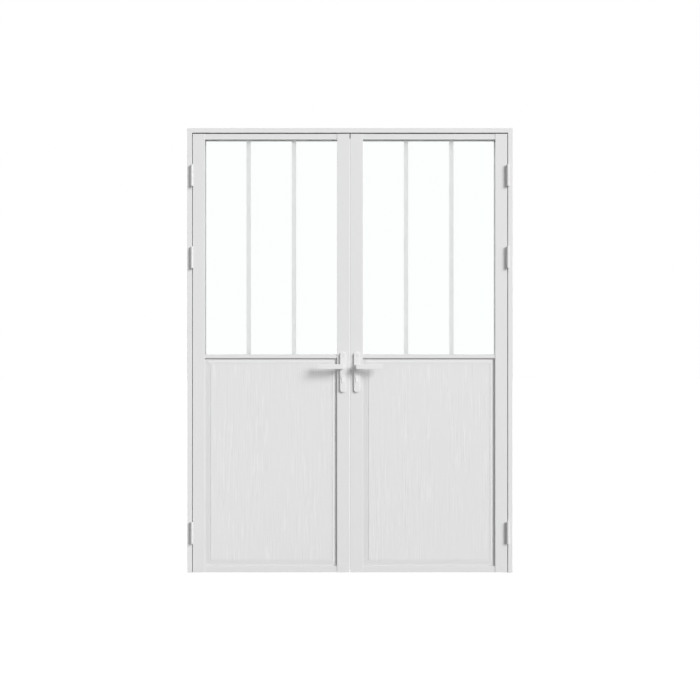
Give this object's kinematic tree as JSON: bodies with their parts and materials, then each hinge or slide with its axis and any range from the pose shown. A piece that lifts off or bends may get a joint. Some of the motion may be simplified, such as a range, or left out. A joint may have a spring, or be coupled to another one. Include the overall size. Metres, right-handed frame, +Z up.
{
  "type": "aluminium double door",
  "caption": "Flush aluminium double door in a slim frame, with barred glazing above raised panels, lever handles and rod locks.",
  "frame": {"origin": "middle of the threshold, on the floor, in the plane that halves the leaves' depth", "axes": "+X to the right seen from outside, +Y from the outside to the inside, +Z up"},
  "size_m": [1.5, 0.148, 2.05],
  "materials": {
    "white_coat": "satin white powder coat",
    "panel_coat": "white powder coat over a fine upright wood grain",
    "hinge_coat": "smooth white powder coat",
    "handle_coat": "smooth white powder coat",
    "clear_glass": "clear float glass",
    "grey_rubber": "matt dark grey",
    "pale_rubber": "matt pale grey",
    "brush_pile": "grey pile",
    "zinc_steel": "zinc plated",
    "nickel": "satin nickel",
    "grey_plastic": "matt mid grey",
    "bare_aluminium": "mill finish"
  },
  "bodies": {
    "frame": {"left_jamb": "white_coat", "right_jamb": "white_coat", "head": "white_coat", "corner_cleats": "bare_aluminium", "frame_gasket": "grey_rubber", "head_keepers": "zinc_steel", "frame_hinge_leaves": "hinge_coat", "hinge_pins": "hinge_coat"},
    "right_leaf": {"right_hinge_stile": "white_coat", "right_meeting_stile": "white_coat", "right_top_rail": "white_coat", "right_mid_rail": "white_coat", "right_bottom_rail": "white_coat", "right_panel": "panel_coat", "right_outer_pane": "clear_glass", "right_inner_pane": "clear_glass", "right_spacer_and_bars": "white_coat", "right_glazing_beads": "white_coat", "right_glazing_gaskets": "pale_rubber", "right_bottom_brush": "brush_pile", "right_hinge_leaves": "hinge_coat", "right_handle_plates": "handle_coat", "right_handle_screws": "handle_coat", "right_cylinder_body": "nickel", "right_lock_case": "zinc_steel", "right_rod_guides": "grey_plastic", "meeting_seal": "pale_rubber"},
    "left_leaf": {"left_hinge_stile": "white_coat", "left_meeting_stile": "white_coat", "left_top_rail": "white_coat", "left_mid_rail": "white_coat", "left_bottom_rail": "white_coat", "left_panel": "panel_coat", "left_outer_pane": "clear_glass", "left_inner_pane": "clear_glass", "left_spacer_and_bars": "white_coat", "left_glazing_beads": "white_coat", "left_glazing_gaskets": "pale_rubber", "left_bottom_brush": "brush_pile", "left_hinge_leaves": "hinge_coat", "left_handle_plates": "handle_coat", "left_handle_screws": "handle_coat", "left_cylinder_body": "nickel", "left_lock_case": "zinc_steel", "left_rod_guides": "grey_plastic", "deadbolt_keeper": "zinc_steel"},
    "right_handle": {"right_outer_lever": "handle_coat", "right_inner_lever": "handle_coat", "right_spindle": "zinc_steel"},
    "right_upper_bolt": {"right_upper_rod": "zinc_steel"},
    "right_lower_bolt": {"right_lower_rod": "zinc_steel"},
    "right_plug": {"right_cylinder_plug": "nickel"},
    "left_handle": {"left_outer_lever": "handle_coat", "left_inner_lever": "handle_coat", "left_spindle": "zinc_steel"},
    "left_upper_bolt": {"left_upper_rod": "zinc_steel"},
    "left_lower_bolt": {"left_lower_rod": "zinc_steel"},
    "left_plug": {"left_cylinder_plug": "nickel"},
    "deadbolt": {"deadbolt": "nickel"}
  },
  "joints": [
    {"name": "right_leaf_hinge", "type": "hinge", "parent": "frame", "child": "right_leaf", "pos_m": [0.7265, -0.033, 1.026], "axis": [0, 0, 1], "range_deg": [0, 110]},
    {"name": "right_handle_turn", "type": "hinge", "parent": "right_leaf", "child": "right_handle", "pos_m": [0.032, 0, 0.951], "axis": [0, 1, 0], "range_deg": [0, 90]},
    {"name": "right_upper_rod_slide", "type": "slide", "parent": "right_leaf", "child": "right_upper_bolt", "axis": [0, 0, 1], "range_m": [0, 0.0126]},
    {"name": "right_lower_rod_slide", "type": "slide", "parent": "right_leaf", "child": "right_lower_bolt", "axis": [0, 0, -1], "range_m": [0, 0.0126]},
    {"name": "right_cylinder_turn", "type": "hinge", "parent": "right_leaf", "child": "right_plug", "pos_m": [0.032, 0, 0.902], "axis": [0, 1, 0], "range_deg": [0, 360]},
    {"name": "left_leaf_hinge", "type": "hinge", "parent": "frame", "child": "left_leaf", "pos_m": [-0.7265, -0.033, 1.026], "axis": [0, 0, -1], "range_deg": [0, 110]},
    {"name": "left_handle_turn", "type": "hinge", "parent": "left_leaf", "child": "left_handle", "pos_m": [-0.032, 0, 0.951], "axis": [0, -1, 0], "range_deg": [0, 90]},
    {"name": "left_upper_rod_slide", "type": "slide", "parent": "left_leaf", "child": "left_upper_bolt", "axis": [0, 0, 1], "range_m": [0, 0.0126]},
    {"name": "left_lower_rod_slide", "type": "slide", "parent": "left_leaf", "child": "left_lower_bolt", "axis": [0, 0, -1], "range_m": [0, 0.0126]},
    {"name": "left_cylinder_turn", "type": "hinge", "parent": "left_leaf", "child": "left_plug", "pos_m": [-0.032, 0, 0.902], "axis": [0, -1, 0], "range_deg": [0, 360]},
    {"name": "deadbolt_slide", "type": "slide", "parent": "right_leaf", "child": "deadbolt", "axis": [-1, 0, 0], "range_m": [0, 0.0201]}
  ],
  "couplings": [
    {"joint": "right_upper_rod_slide", "follows": "right_handle_turn", "m_per_rad": 0.008},
    {"joint": "right_lower_rod_slide", "follows": "right_handle_turn", "m_per_rad": 0.008},
    {"joint": "left_upper_rod_slide", "follows": "left_handle_turn", "m_per_rad": 0.008},
    {"joint": "left_lower_rod_slide", "follows": "left_handle_turn", "m_per_rad": 0.008},
    {"joint": "deadbolt_slide", "follows": "right_cylinder_turn", "m_per_rad": 0.0031831}
  ]
}
